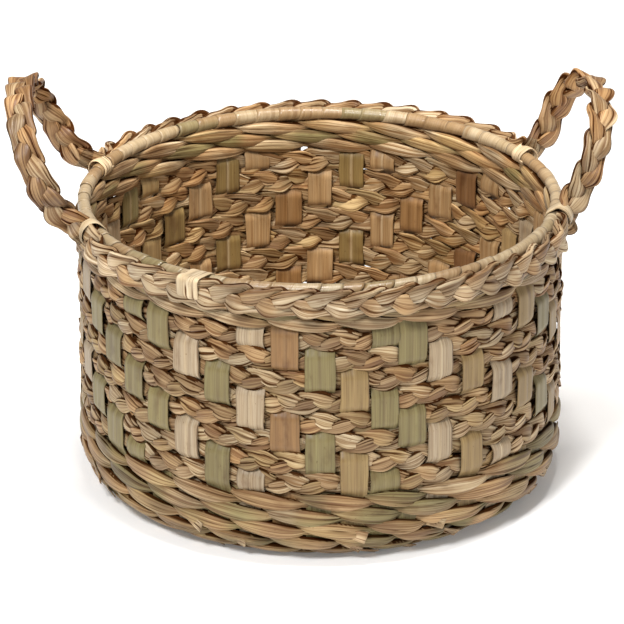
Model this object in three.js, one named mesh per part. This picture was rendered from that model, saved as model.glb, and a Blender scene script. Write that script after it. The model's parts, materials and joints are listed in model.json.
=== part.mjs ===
// A round basket woven from seagrass leaves, with two plaited loop handles.
//
// Twenty-two broad leaves cross the floor in a twill lattice and turn up as forty-four stakes.
// Eight flat plaits weave round the wall, twined rounds bind its foot and its top, a wrapped
// hoop and a thick plait finish the rim, and that plait's loops are the handles.
//
// Millimetres, +Z up. The origin is on the ground under the middle of the floor, the handles
// stand at the -X and +X sides, and -Y is the front. A ring has one flat facet for each stake.

import * as THREE from 'three';

// Stakes: the floor leaves and the wall stakes that they become
const stakeCount = 44;
const leavesEachWay = stakeCount / 4;
const stakePitch = (2 * Math.PI) / stakeCount;
const stakeThickness = 1.0;
const stakeCover = 0.775; // share of its facet that a stake covers
const stakeTop = 211.0;
const clearance = 0.4; // between pieces that lie on each other

// Where the stakes crowd together at the right of the front, as hand weaving leaves them
const crowdAngle = THREE.MathUtils.degToRad(-57);
const crowdSpread = THREE.MathUtils.degToRad(16);
const crowdShift = THREE.MathUtils.degToRad(-3.9);
const crowdInner = 128; // no shift nearer the axis than this
const crowdOuter = 168; // the whole shift further out than this

// Wall
const wallRadius = 176.5; // middle of the weave
const plaitRows = 8;
const plaitFoot = 58.0;
const plaitPitch = 16.25;
const plaitTop = plaitFoot + plaitRows * plaitPitch;
const plaitHalfThickness = 4.0;
const plaitHalfHeight = 6.6;
const plaitShoulder = 3.0; // half the height of a plait's flat side
const weaveOffset = plaitHalfThickness + clearance + stakeThickness / 2 + 0.1;
const weaveReach = 3.3; // how far past a plait's middle a stake stays flat
const weaveEntry = 0.6; // from the plaits' zone to where a stake is back at the middle

// Floor and the turn from floor to wall
const turnRadius = 29.0;
const turnSteps = 4;
const floorHeight = 5.5; // middle of the weave where the floor is twined
const floorRadius = wallRadius - turnRadius;
const turnTop = floorHeight + turnRadius;
const twinedFloorRadius = 136.0; // inner edge of the innermost twined round
const latticePitch = 17.0;
const latticeLeafWidth = 14.5;
const latticeHeight = 1.2; // middle of the lattice, whose lower leaves lie on the ground
const latticeOffset = (stakeThickness + clearance) / 2;
const latticeEdge = (leavesEachWay / 2) * latticePitch + 2;

// Twined rounds: a strand outside the stakes and a strand inside
const waleFace = stakeThickness / 2 + clearance;
const waleDepth = floorHeight - waleFace;
const footWaleTop = 57.0;
const footWaleHalfHeight = 5.1;
const topWaleHeights = [193.6, 201.0, 208.4];
const topWaleHalfHeight = 3.0;

// Rim
const hoopRadius = 176.6;
const hoopHeight = 218.0;
const hoopCoreReach = 3.2;
const wrapReach = 4.9;
const wrapTurns = 44;
const wrapWidth = 20.0;
const wrapThickness = 0.8;
const rimPlaitRadius = 187.3;
const rimPlaitHeight = 212.9;
const rimPlaitHalfHeight = 8.5;
const rimPlaitShoulder = 6.0;

// Handles: each loop starts at two feet above the rim and leans outwards
const hingeHeight = 235.5;
const handleWidth = 20.0;
const handleThickness = 9.0;
const loopSquareness = 2.7; // 2 would be an ellipse
const loopSteps = 14;
const shoulderHeight = 10.0; // the loop is widest this far above its feet
const handles = {
  left: { angle: 180, hingeRadius: 192, foot: 67.5, halfWidth: 72, height: 67.5, lean: 0.66, curl: 0.0033 },
  right: { angle: 11, hingeRadius: 186, foot: 56, halfWidth: 57, height: 56.5, lean: 0.41, curl: 0 },
};

// Lashings bind the plait to the hoop at the feet of the handles, between two stakes
const lashingStakes = { left_back: 19.5, left_front: 24.5, right_front: 42.5, right_back: 3.5 };
const lashingWidth = 4.6;
const lashingThickness = 0.8;
const lashingGap = 1.1; // from the hoop or the plait to the middle of the band
const rimPlaitEnds = { front: [198, 355], back: [26.5, 162] };

const colours = {
  stakeGreen: 0xa9a077,
  stakeStraw: 0xc2a878,
  plait: 0xb3926a,
  twine: 0xa98a63,
  hoop: 0x9c8058,
  wrap: 0xcdb88f,
  handle: 0xa87f52,
};

const basket = new THREE.Group();

function material(colour) {
  return new THREE.MeshStandardMaterial({ color: colour, roughness: 0.75, metalness: 0 });
}

function add(name, geometry, colour) {
  const mesh = new THREE.Mesh(geometry, material(colour));
  mesh.name = name;
  basket.add(mesh);
}

// Directions at an angle round the basket, counted from +X towards +Y
function outward(angle) {
  return new THREE.Vector3(Math.cos(angle), Math.sin(angle), 0);
}

function around(angle) {
  return new THREE.Vector3(-Math.sin(angle), Math.cos(angle), 0);
}

function isOneOf(value, remainders) {
  return remainders.includes(((value % 4) + 4) % 4);
}

// Turns a geometry's faces outwards if they point inwards
function faceOut(geometry) {
  const place = geometry.getAttribute('position');
  const index = geometry.getIndex();
  const corner = [new THREE.Vector3(), new THREE.Vector3(), new THREE.Vector3()];
  let volume = 0;
  for (let i = 0; i < index.count; i += 3) {
    corner.forEach((c, k) => c.fromBufferAttribute(place, index.getX(i + k)));
    volume += corner[0].dot(corner[1].clone().cross(corner[2]));
  }
  if (volume > 0) return geometry;
  for (let i = 0; i < index.count; i += 3) {
    const second = index.getX(i + 1);
    index.setX(i + 1, index.getX(i + 2));
    index.setX(i + 2, second);
  }
  return geometry;
}

// Slides points round the basket where the stakes crowd together
function crowd(geometry) {
  const place = geometry.getAttribute('position');
  for (let i = 0; i < place.count; i++) {
    const x = place.getX(i);
    const y = place.getY(i);
    const radius = Math.hypot(x, y);
    const away = (Math.atan2(y, x) - crowdAngle) / crowdSpread;
    const share = THREE.MathUtils.smoothstep(radius, crowdInner, crowdOuter);
    const angle = Math.atan2(y, x) + share * crowdShift * Math.exp(-away * away);
    place.setXY(i, radius * Math.cos(angle), radius * Math.sin(angle));
  }
  return geometry;
}

// A ring with one flat facet at each stake. The profile's radii are those of the facets.
function ring(profile) {
  const widen = 1 / Math.cos(stakePitch / 2);
  const outline = [...profile, profile[0]];
  const points = outline.map(([radius, height]) => new THREE.Vector2(radius * widen, height));
  const geometry = new THREE.LatheGeometry(points, stakeCount, stakePitch / 2);
  geometry.rotateX(Math.PI / 2);
  return crowd(faceOut(geometry));
}

// A solid through cross-sections that each list the same number of corners
function loft(sections, closed) {
  const corners = sections[0].length;
  const place = sections.flat().flatMap((point) => point.toArray());
  const faces = [];
  const spans = closed ? sections.length : sections.length - 1;
  for (let s = 0; s < spans; s++) {
    const here = s * corners;
    const next = ((s + 1) % sections.length) * corners;
    for (let c = 0; c < corners; c++) {
      const d = (c + 1) % corners;
      faces.push(here + c, here + d, next + d, here + c, next + d, next + c);
    }
  }
  const last = (sections.length - 1) * corners;
  for (let c = 1; !closed && c < corners - 1; c++) {
    faces.push(0, c + 1, c, last, last + c, last + c + 1);
  }
  const geometry = new THREE.BufferGeometry();
  geometry.setAttribute('position', new THREE.Float32BufferAttribute(place, 3));
  geometry.setIndex(faces);
  return faceOut(geometry);
}

// The four corners of a flat leaf's cross-section
function leafSection(centre, across, face, width, thickness) {
  const corners = [[1, 1], [-1, 1], [-1, -1], [1, -1]];
  return corners.map(([a, f]) =>
    centre.clone().addScaledVector(across, (a * width) / 2).addScaledVector(face, (f * thickness) / 2));
}

// ---- Stakes ----

// Whether a stake passes outside a plait, counted from the lowest plait
function isOutside(stake, row) {
  return isOneOf(stake + row, [2, 3]);
}

function plaitHeight(row) {
  return plaitFoot + (row + 0.5) * plaitPitch;
}

// The turn from wall to floor, as points of radius and height
function turnPoints() {
  return Array.from({ length: turnSteps + 1 }, (_, step) => {
    const angle = (step / turnSteps) * (Math.PI / 2);
    return [floorRadius + turnRadius * Math.cos(angle), turnTop - turnRadius * Math.sin(angle)];
  });
}

// A stake's middle line as radius and height, from its top down to the edge of the twined floor
function stakeLine(stake) {
  const line = [[wallRadius, stakeTop], [wallRadius, plaitTop + weaveEntry]];
  for (let row = plaitRows - 1; row >= 0; row--) {
    const side = isOutside(stake, row);
    const radius = wallRadius + (side ? weaveOffset : -weaveOffset);
    const startsHere = row === plaitRows - 1 || isOutside(stake, row + 1) !== side;
    const endsHere = row === 0 || isOutside(stake, row - 1) !== side;
    if (startsHere) line.push([radius, plaitHeight(row) + weaveReach]);
    if (endsHere) line.push([radius, plaitHeight(row) - weaveReach]);
  }
  line.push([wallRadius, plaitFoot - weaveEntry]);
  line.push(...turnPoints());
  line.push([twinedFloorRadius, floorHeight]);
  return line.map(([radius, height]) => new THREE.Vector2(radius, height));
}

// The direction out of the basket at a point of a stake's line, lengthened at a bend so that
// the leaf keeps its thickness
function bendNormal(line, i) {
  const before = line[Math.max(i, 1)].clone().sub(line[Math.max(i, 1) - 1]).normalize();
  const following = Math.min(i, line.length - 2);
  const after = line[following + 1].clone().sub(line[following]).normalize();
  const along = before.clone().add(after).normalize();
  return new THREE.Vector2(-along.y, along.x).divideScalar(along.dot(before));
}

// Cross-sections of one stake, from its top down. Turn is 1 or -1: which way across points.
function stakeSections(stake, angle, turn) {
  const line = stakeLine(stake);
  return line.map((point, i) => {
    const normal = bendNormal(line, i);
    const centre = outward(angle).multiplyScalar(point.x).setZ(point.y);
    const face = outward(angle).multiplyScalar(normal.x).setZ(normal.y);
    const width = stakeCover * stakePitch * point.x;
    return leafSection(centre, around(angle).multiplyScalar(turn), face, width, stakeThickness);
  });
}

// Cross-sections where a leaf crosses the lattice, from +X to -X
function latticeSections(leaf, isOver) {
  const reach = (leavesEachWay - 1) / 2;
  const gap = (latticePitch - latticeLeafWidth) / 2;
  const sideAt = (column) => (isOver(leaf, column) ? latticeOffset : -latticeOffset);
  const stations = [[latticeEdge, sideAt(reach)]];
  for (let column = reach; column > -reach; column--) {
    if (sideAt(column) === sideAt(column - 1)) continue;
    const middle = (column - 0.5) * latticePitch;
    stations.push([middle + gap, sideAt(column)], [middle - gap, sideAt(column - 1)]);
  }
  stations.push([-latticeEdge, sideAt(-reach)]);
  const across = new THREE.Vector3(0, -1, 0);
  const down = new THREE.Vector3(0, 0, -1);
  return stations.map(([x, side]) => {
    const centre = new THREE.Vector3(x, leaf * latticePitch, latticeHeight + side);
    return leafSection(centre, across, down, latticeLeafWidth, stakeThickness);
  });
}

// One whole leaf: down one wall, across the floor and up the wall opposite. It is built along X
// and turned to its first stake.
function throughLeaf(leaf, firstStake, isOver) {
  const near = stakeSections(firstStake + leaf, leaf * stakePitch, -1);
  const far = stakeSections(firstStake + stakeCount / 2 - leaf, Math.PI - leaf * stakePitch, 1);
  const geometry = loft([...near, ...latticeSections(leaf, isOver), ...far.reverse()], false);
  return crowd(geometry.rotateZ(firstStake * stakePitch));
}

function addStakes() {
  const reach = (leavesEachWay - 1) / 2;
  const runs = [
    {
      name: 'stake_leaf_x',
      firstStake: 0,
      isOver: (leaf, column) => isOneOf(leaf + column, [0, 1]),
    },
    {
      name: 'stake_leaf_y',
      firstStake: stakeCount / 4,
      isOver: (leaf, column) => isOneOf(column - leaf, [2, 3]),
    },
  ];
  runs.forEach(({ name, firstStake, isOver }) => {
    for (let leaf = -reach; leaf <= reach; leaf++) {
      const colour = isOneOf(leaf, [0, 3]) ? colours.stakeStraw : colours.stakeGreen;
      add(`${name}_${leaf + reach + 1}`, throughLeaf(leaf, firstStake, isOver), colour);
    }
  });
}

// ---- Wall plaits and twined rounds ----

function addWallPlaits() {
  for (let row = 0; row < plaitRows; row++) {
    const height = plaitHeight(row);
    const profile = [
      [wallRadius, height + plaitHalfHeight],
      [wallRadius - plaitHalfThickness, height + plaitShoulder],
      [wallRadius - plaitHalfThickness, height - plaitShoulder],
      [wallRadius, height - plaitHalfHeight],
      [wallRadius + plaitHalfThickness, height - plaitShoulder],
      [wallRadius + plaitHalfThickness, height + plaitShoulder],
    ];
    add(`wall_plait_${row + 1}`, ring(profile), colours.plait);
  }
}

// The two strands of a twined round, whose flat faces lie on each side of the stakes. From and
// to are the ends of the stakes' stretch that the round covers, as radius and height.
function addTwinedRound(name, from, to, halfHeight) {
  const start = new THREE.Vector2(...from);
  const end = new THREE.Vector2(...to);
  const middle = start.clone().add(end).multiplyScalar(0.5);
  const along = end.clone().sub(start).normalize();
  const out = new THREE.Vector2(-along.y, along.x);
  Object.entries({ outer: 1, inner: -1 }).forEach(([strand, side]) => {
    const face = middle.clone().addScaledVector(out, side * waleFace);
    const ridge = middle.clone().addScaledVector(out, side * (waleFace + waleDepth));
    const edges = [-halfHeight, halfHeight].map((step) => face.clone().addScaledVector(along, step));
    const profile = [edges[0], edges[1], ridge].map((point) => point.toArray());
    add(`${name}_${strand}_strand`, ring(profile), colours.twine);
  });
}

function addTwinedRounds() {
  topWaleHeights.forEach((height, i) => {
    const from = [wallRadius, height + topWaleHalfHeight];
    const to = [wallRadius, height - topWaleHalfHeight];
    addTwinedRound(`top_round_${i + 1}`, from, to, topWaleHalfHeight);
  });
  const turn = turnPoints();
  const wallEnd = (footWaleTop + turnTop) / 2;
  const wall = [[wallRadius, footWaleTop], [wallRadius, wallEnd]];
  const stops = [...wall, ...turn, [twinedFloorRadius, floorHeight]];
  for (let i = 0; i < stops.length - 1; i++) {
    addTwinedRound(`foot_round_${i + 1}`, stops[i], stops[i + 1], footWaleHalfHeight);
  }
}

// ---- Rim ----

function addHoop() {
  const profile = [
    [hoopRadius + hoopCoreReach, hoopHeight],
    [hoopRadius, hoopHeight + hoopCoreReach],
    [hoopRadius - hoopCoreReach, hoopHeight],
    [hoopRadius, hoopHeight - hoopCoreReach],
  ];
  add('rim_hoop_core', ring(profile), colours.hoop);
}

// One leaf band wound round the hoop all the way, four steps to a turn
function addHoopWrap() {
  const steps = wrapTurns * 4;
  const sections = Array.from({ length: steps }, (_, step) => {
    const angle = (step / steps) * 2 * Math.PI;
    const wind = step * (Math.PI / 2);
    const face = outward(angle).multiplyScalar(Math.cos(wind)).setZ(Math.sin(wind));
    const centre = outward(angle).multiplyScalar(hoopRadius).setZ(hoopHeight);
    centre.addScaledVector(face, wrapReach);
    return leafSection(centre, around(angle), face, wrapWidth, wrapThickness);
  });
  add('rim_hoop_wrap', crowd(loft(sections, true)), colours.wrap);
}

function rimPlaitSection(angle) {
  const corners = [
    [0, rimPlaitHalfHeight],
    [-plaitHalfThickness, rimPlaitShoulder],
    [-plaitHalfThickness, -rimPlaitShoulder],
    [0, -rimPlaitHalfHeight],
    [plaitHalfThickness, -rimPlaitShoulder],
    [plaitHalfThickness, rimPlaitShoulder],
  ];
  return corners.map(([out, up]) =>
    outward(angle).multiplyScalar(rimPlaitRadius + out).setZ(rimPlaitHeight + up));
}

function addRimPlaits() {
  Object.entries(rimPlaitEnds).forEach(([side, ends]) => {
    const [start, end] = ends.map(THREE.MathUtils.degToRad);
    const steps = Math.ceil((end - start) / stakePitch);
    const angles = Array.from({ length: steps + 1 }, (_, i) => start + ((end - start) * i) / steps);
    add(`rim_plait_${side}`, loft(angles.map(rimPlaitSection), false), colours.plait);
  });
}

// A loop round the hoop and the rim plait that passes through the wall between two rounds
function lashingOutline() {
  const hoopReach = wrapReach + wrapThickness / 2 + lashingGap;
  const outside = rimPlaitRadius + plaitHalfThickness + lashingGap;
  const shoulder = rimPlaitShoulder + lashingGap / 2;
  const edge = rimPlaitHalfHeight + lashingGap;
  const wallExit = wallRadius + waleFace + waleDepth + lashingThickness;
  const passage = (topWaleHeights[1] + topWaleHeights[2]) / 2;
  return [
    [hoopRadius - hoopReach, passage],
    [wallExit, passage],
    [rimPlaitRadius, rimPlaitHeight - edge],
    [outside, rimPlaitHeight - shoulder],
    [outside, rimPlaitHeight + shoulder],
    [rimPlaitRadius, rimPlaitHeight + edge],
    [hoopRadius, hoopHeight + hoopReach],
    [hoopRadius - hoopReach, hoopHeight],
  ].map(([radius, height]) => new THREE.Vector2(radius, height));
}

function addLashings() {
  const outline = lashingOutline();
  Object.entries(lashingStakes).forEach(([place, stake]) => {
    const angle = stake * stakePitch;
    const sections = outline.map((point, i) => {
      const before = point.clone().sub(outline.at(i - 1)).normalize();
      const after = outline[(i + 1) % outline.length].clone().sub(point).normalize();
      const along = before.clone().add(after).normalize();
      const normal = new THREE.Vector2(-along.y, along.x).divideScalar(along.dot(before));
      const centre = outward(angle).multiplyScalar(point.x).setZ(point.y);
      const face = outward(angle).multiplyScalar(normal.x).setZ(normal.y);
      return leafSection(centre, around(angle), face, lashingWidth, lashingThickness);
    });
    add(`lashing_${place}`, crowd(loft(sections, true)), colours.wrap);
  });
}

// ---- Handles ----

// The middle line of a loop from one foot to the other, as distances sideways and up
function loopLine(handle) {
  const rise = handle.height - shoulderHeight;
  const power = 2 / loopSquareness;
  const line = Array.from({ length: loopSteps + 1 }, (_, i) => {
    const turn = (i / loopSteps) * Math.PI;
    const sideways = -handle.halfWidth * Math.sign(Math.cos(turn)) * Math.abs(Math.cos(turn)) ** power;
    return [sideways, shoulderHeight + rise * Math.abs(Math.sin(turn)) ** power];
  });
  return [[-handle.foot, 0], ...line, [handle.foot, 0]];
}

// A loop leans and curls outwards as it rises. Its plait lies across that leaning sheet.
function loopStation(handle, sideways, up) {
  const angle = THREE.MathUtils.degToRad(handle.angle);
  const out = handle.hingeRadius + handle.lean * up - handle.curl * up * up;
  const centre = outward(angle).multiplyScalar(out).setZ(hingeHeight + up);
  centre.addScaledVector(around(angle), sideways);
  const slope = handle.lean - 2 * handle.curl * up;
  const rising = outward(angle).multiplyScalar(slope).setZ(1).normalize();
  const across = around(angle).cross(rising);
  return { centre, rising, across };
}

function plaitSection({ centre, along, across, halfWidth }) {
  const through = along.clone().cross(across).normalize();
  const edge = Math.min(handleThickness * 0.2, halfWidth);
  const flat = halfWidth * 0.7;
  const half = handleThickness / 2;
  const corners = [
    [halfWidth, edge], [flat, half], [-flat, half], [-halfWidth, edge],
    [-halfWidth, -edge], [-flat, -half], [flat, -half], [halfWidth, -edge],
  ];
  return corners.map(([a, t]) => centre.clone().addScaledVector(across, a).addScaledVector(through, t));
}

// A foot ends in a half round about its hinge line, so that it turns in its place. Rise is 1
// where the plait rises from the foot and -1 where it comes down to it.
function footStations(handle, sideways, rise) {
  const { centre, rising, across } = loopStation(handle, sideways, 0);
  const stations = [0.96, 0.8, 0.5].map((share) => {
    const drop = (share * handleWidth) / 2;
    return {
      centre: centre.clone().addScaledVector(rising, -drop),
      along: rising.clone().multiplyScalar(rise),
      across,
      halfWidth: (handleWidth / 2) * Math.sqrt(1 - share * share),
    };
  });
  return rise > 0 ? stations : stations.reverse();
}

function handleGeometry(handle) {
  const loop = loopLine(handle).map(([sideways, up]) => loopStation(handle, sideways, up));
  const stations = loop.map(({ centre, across }, i) => {
    const before = loop[Math.max(i - 1, 0)].centre;
    const after = loop[Math.min(i + 1, loop.length - 1)].centre;
    return { centre, along: after.clone().sub(before).normalize(), across, halfWidth: handleWidth / 2 };
  });
  const first = footStations(handle, -handle.foot, 1);
  const last = footStations(handle, handle.foot, -1);
  return loft([...first, ...stations, ...last].map(plaitSection), false);
}

addStakes();
addWallPlaits();
addTwinedRounds();
addHoop();
addHoopWrap();
addRimPlaits();
addLashings();
Object.entries(handles).forEach(([side, handle]) => {
  add(`handle_${side}`, handleGeometry(handle), colours.handle);
});

export default basket;
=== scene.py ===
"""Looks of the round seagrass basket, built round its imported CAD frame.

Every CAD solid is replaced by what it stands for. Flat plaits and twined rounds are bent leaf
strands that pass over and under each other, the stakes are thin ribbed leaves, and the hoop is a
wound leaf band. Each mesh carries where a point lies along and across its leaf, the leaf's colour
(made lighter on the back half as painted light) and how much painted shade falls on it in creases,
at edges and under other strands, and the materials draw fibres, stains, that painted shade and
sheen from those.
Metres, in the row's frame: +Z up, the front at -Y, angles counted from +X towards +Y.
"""

import json
import math
import zlib
from functools import partial

import bpy
import numpy as np
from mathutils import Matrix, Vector


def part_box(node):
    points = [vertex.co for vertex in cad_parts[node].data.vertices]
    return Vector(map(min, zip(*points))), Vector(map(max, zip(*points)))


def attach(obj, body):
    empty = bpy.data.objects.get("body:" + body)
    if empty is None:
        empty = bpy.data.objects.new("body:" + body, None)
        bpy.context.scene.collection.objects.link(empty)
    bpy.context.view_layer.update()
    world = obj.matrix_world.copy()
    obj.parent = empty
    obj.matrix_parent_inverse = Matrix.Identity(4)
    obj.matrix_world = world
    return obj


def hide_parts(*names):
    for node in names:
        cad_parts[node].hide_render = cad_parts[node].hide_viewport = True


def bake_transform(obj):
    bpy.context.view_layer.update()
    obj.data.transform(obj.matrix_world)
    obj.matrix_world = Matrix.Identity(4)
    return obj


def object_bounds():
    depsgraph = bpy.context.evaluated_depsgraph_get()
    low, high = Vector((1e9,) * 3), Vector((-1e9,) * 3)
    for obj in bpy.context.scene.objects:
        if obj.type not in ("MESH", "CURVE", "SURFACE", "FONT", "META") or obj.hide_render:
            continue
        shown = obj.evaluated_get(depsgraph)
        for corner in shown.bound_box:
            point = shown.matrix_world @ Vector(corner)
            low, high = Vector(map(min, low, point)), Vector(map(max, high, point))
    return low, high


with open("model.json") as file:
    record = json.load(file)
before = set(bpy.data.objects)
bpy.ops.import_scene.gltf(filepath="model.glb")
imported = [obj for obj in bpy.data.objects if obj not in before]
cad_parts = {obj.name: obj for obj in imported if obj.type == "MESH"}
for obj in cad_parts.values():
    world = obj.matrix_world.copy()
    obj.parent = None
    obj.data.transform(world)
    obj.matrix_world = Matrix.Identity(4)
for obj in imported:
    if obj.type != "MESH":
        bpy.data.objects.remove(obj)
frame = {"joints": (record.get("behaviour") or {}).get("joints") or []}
cad_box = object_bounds()

TAU = 2 * math.pi
MM = 0.001

# ---- Sizes taken from the frame ----

STAKES = 44
PITCH = TAU / STAKES
ROWS = 8
PLAIT_HALF_THICKNESS = 4.0 * MM


def middle_height(node):
    """The height of the middle of a CAD node."""
    low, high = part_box(node)
    return (low.z + high.z) / 2


ROW_HEIGHTS = [middle_height(f"wall_plait_{row + 1}") for row in range(ROWS)]
ROW_PITCH = (ROW_HEIGHTS[-1] - ROW_HEIGHTS[0]) / (ROWS - 1)
WALL_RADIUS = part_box("wall_plait_1")[1].x - PLAIT_HALF_THICKNESS
HOOP_RADIUS = WALL_RADIUS
HOOP_HEIGHT = middle_height("rim_hoop_core")
RIM_HEIGHT = middle_height("rim_plait_front")
RIM_RADIUS = -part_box("rim_plait_front")[0].y - PLAIT_HALF_THICKNESS
STAKE_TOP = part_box("stake_leaf_x_6")[1].z
TURN_RADIUS = 29.0 * MM  # of the bend from floor to wall
FLOOR_HEIGHT = 5.5 * MM  # the middle of the weave where the floor is twined
TURN_TOP = FLOOR_HEIGHT + TURN_RADIUS
FLOOR_RADIUS = WALL_RADIUS - TURN_RADIUS
FOOT_TOP = 57.0 * MM  # the upper edge of the foot's twined rounds
LATTICE_PITCH = 17.0 * MM  # between the leaves that cross the floor
UP = np.array([0.0, 0.0, 1.0])

# Where the stakes crowd together at the right of the front
CROWD_ANGLE = math.radians(-57)
CROWD_SPREAD = math.radians(16)
CROWD_SHIFT = math.radians(-3.9)
CROWD_INNER = 128 * MM  # no shift nearer the axis than this
CROWD_OUTER = 168 * MM  # the whole shift further out than this

# ---- Leaf colours, as sRGB ----

GREEN = (145, 132, 90)
STRAW = (184, 156, 112)
PINK = (197, 173, 141)
ORANGE = (156, 118, 76)
TAN = (184, 150, 110)
BROWN = (128, 92, 58)
OLIVE = (146, 122, 76)
HAY = (168, 141, 96)
BLUSH = (190, 170, 146)
CREAM = (224, 203, 174)
PALE = (206, 183, 150)
WARM = (184, 145, 101)

LEAF_TONE = np.array([0.6, 0.58, 0.5])  # how much darker dry leaf is than its lit colour


def linear(colour):
    """How much light a leaf of an sRGB colour sends back."""
    c = np.asarray(colour, float) / 255
    return LEAF_TONE * np.where(c <= 0.04045, c / 12.92, ((c + 0.055) / 1.055) ** 2.4)


# ---- Numbers along strands ----


def seeded(name):
    """A source of random numbers that depends on a name only."""
    return np.random.default_rng(zlib.crc32(name.encode()))


def smooth(x):
    x = np.clip(x, 0, 1)
    return x * x * (3 - 2 * x)


def mixed(a, b, share):
    return a + (b - a) * share


def unit(v):
    return v / np.linalg.norm(v, axis=-1, keepdims=True)


def wander(rng, along, total, spacing):
    """Smooth random values from -1 to 1 at places along a length, equal at its two ends.

    Spacing is the distance between turning points, in the unit of the length.
    """
    knots = max(3, round(total / spacing))
    values = rng.uniform(-1, 1, knots)
    place = along / total * knots
    index = np.floor(place).astype(int)
    return mixed(values[index % knots], values[(index + 1) % knots], smooth(place - index))


def blurred(values, kernel):
    """Values blurred by a kernel of odd length."""
    padded = np.pad(values, len(kernel) // 2, mode="edge")
    return np.convolve(padded, kernel / kernel.sum(), mode="valid")


def outward(angle):
    """The level direction away from the axis at an angle."""
    angle = np.asarray(angle, float)
    return np.stack([np.cos(angle), np.sin(angle), np.zeros_like(angle)], -1)


def around(angle):
    """The level direction round the axis at an angle."""
    return outward(angle + TAU / 4)


def crowded(angle, radius):
    """The angle of a stake once the crowding at the right of the front has shifted it."""
    away = (np.asarray(angle, float) + math.pi) % TAU - math.pi - CROWD_ANGLE
    share = smooth((radius - CROWD_INNER) / (CROWD_OUTER - CROWD_INNER))
    return angle + share * CROWD_SHIFT * np.exp(-((away / CROWD_SPREAD) ** 2))


def stake_at(angle):
    """How many stakes lie between +X and an angle on the wall."""
    count = np.arange(-STAKES, 2 * STAKES + 1)
    return np.interp(angle, crowded(count * PITCH, WALL_RADIUS), count)


def is_outside(stake, row):
    """Whether a stake passes outside a plait, counted from the lowest plait."""
    return (stake + row) % 4 >= 2


# ---- Meshes from strands ----

BACK_PAINTED_LIGHT = np.array([0.42, 0.38, 0.34])  # painted light: how much lighter the leaves of the back half are made, so the inside of the back wall looks as lit as the front
BACK_SPREAD = 0.8 * WALL_RADIUS  # how far from front to back that painted light fades in


def new_object(name, data):
    """Puts a mesh, light or camera into the scene."""
    made = bpy.data.objects.new(name, data)
    bpy.context.scene.collection.objects.link(made)
    return made


class Weave:
    """Gathers strands into one mesh with their fibre places, colours and painted shade."""

    def __init__(self, name):
        self.name = name
        self.rng = seeded(name)
        self.points, self.faces, self.fibres, self.colours, self.folds = [], [], [], [], []
        self.count = 0

    def add(self, grid, fibre, colour, fold_shade, loop):
        """Adds a skin over a grid of stations by points round each, with flat ends unless it loops."""
        stations, sides = grid.shape[:2]
        above_ground = np.maximum(grid[..., 2:], 0)
        grid = np.concatenate([grid[..., :2], above_ground], -1)
        # Painted light: the back half of the basket is coloured lighter than its leaves are.
        back = smooth(0.5 + grid[..., 1:2] / BACK_SPREAD)
        colour = colour * (1 + BACK_PAINTED_LIGHT * back)
        index = self.count + np.arange(stations * sides).reshape(stations, sides)
        here = index if loop else index[:-1]
        following = np.roll(index, -1, axis=0) if loop else index[1:]
        quads = [here, np.roll(here, -1, axis=1), np.roll(following, -1, axis=1), following]
        faces = [np.stack(quads, -1).reshape(-1, 4)]
        if not loop:
            k = np.arange(sides // 2 - 1)
            cap = np.stack([k, sides - 1 - k, sides - 2 - k, k + 1], -1)
            faces += [index[0][cap], index[-1][cap][:, ::-1]]
        self.points.append(grid.reshape(-1, 3))
        self.faces.append(np.concatenate(faces))
        self.fibres.append(fibre.reshape(-1, 3))
        self.colours.append(colour.reshape(-1, 3))
        self.folds.append(np.broadcast_to(fold_shade, (stations, sides)).ravel())
        self.count += stations * sides

    def finish(self, material):
        points = np.concatenate(self.points).astype(np.float32)
        faces = np.concatenate(self.faces).astype(np.int32)
        mesh = bpy.data.meshes.new(self.name)
        mesh.vertices.add(len(points))
        mesh.vertices.foreach_set("co", points.ravel())
        mesh.loops.add(faces.size)
        mesh.loops.foreach_set("vertex_index", faces.ravel())
        mesh.polygons.add(len(faces))
        mesh.polygons.foreach_set("loop_start", np.arange(0, faces.size, 4, dtype=np.int32))
        mesh.update(calc_edges=True)
        mesh.validate()
        mesh.shade_smooth()
        fibre = mesh.attributes.new("fibre", "FLOAT_VECTOR", "POINT")
        fibre.data.foreach_set("vector", np.concatenate(self.fibres).astype(np.float32).ravel())
        colour = mesh.attributes.new("leaf_colour", "FLOAT_COLOR", "POINT")
        rgba = np.ones((len(points), 4), np.float32)
        rgba[:, :3] = np.concatenate(self.colours)
        colour.data.foreach_set("color", rgba.ravel())
        fold_shade = mesh.attributes.new("fold_shade", "FLOAT", "POINT")
        fold_shade.data.foreach_set("value", np.concatenate(self.folds).astype(np.float32))
        mesh.materials.append(material)
        return new_object(self.name, mesh)


def distances(centre, loop):
    """How far along its middle line each station is, and the line's whole length."""
    following = np.roll(centre, -1, axis=0)
    steps = np.linalg.norm(following - centre, axis=1)
    along = np.concatenate([[0], np.cumsum(steps)[:-1]])
    return along, along[-1] + (steps[-1] if loop else 0)


def tangents(centre, loop):
    """The direction of a middle line at each station."""
    if loop:
        return unit(np.roll(centre, -1, axis=0) - np.roll(centre, 1, axis=0))
    return unit(np.gradient(centre, axis=0))


PLEATS = 8
PLEAT_GENTLE, PLEAT_SHARP = 0.5, 0.14  # how far round a strand the two sides of a pleat reach
CREASE_REACH = 0.13  # how far round a strand the painted shade line in a pleat reaches
STRAND_EDGE = 0.86  # the share of a strand's half width where painted shade starts at its edge, where it goes under its neighbours
FIBRE_WIDTH, FIBRE_DEPTH = 5 * MM, 2 * MM  # a strand's half size as its fibres see it
FIBRE_SCATTER = 9  # how far apart, in metres, two leaves may be cut from one long leaf


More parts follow.
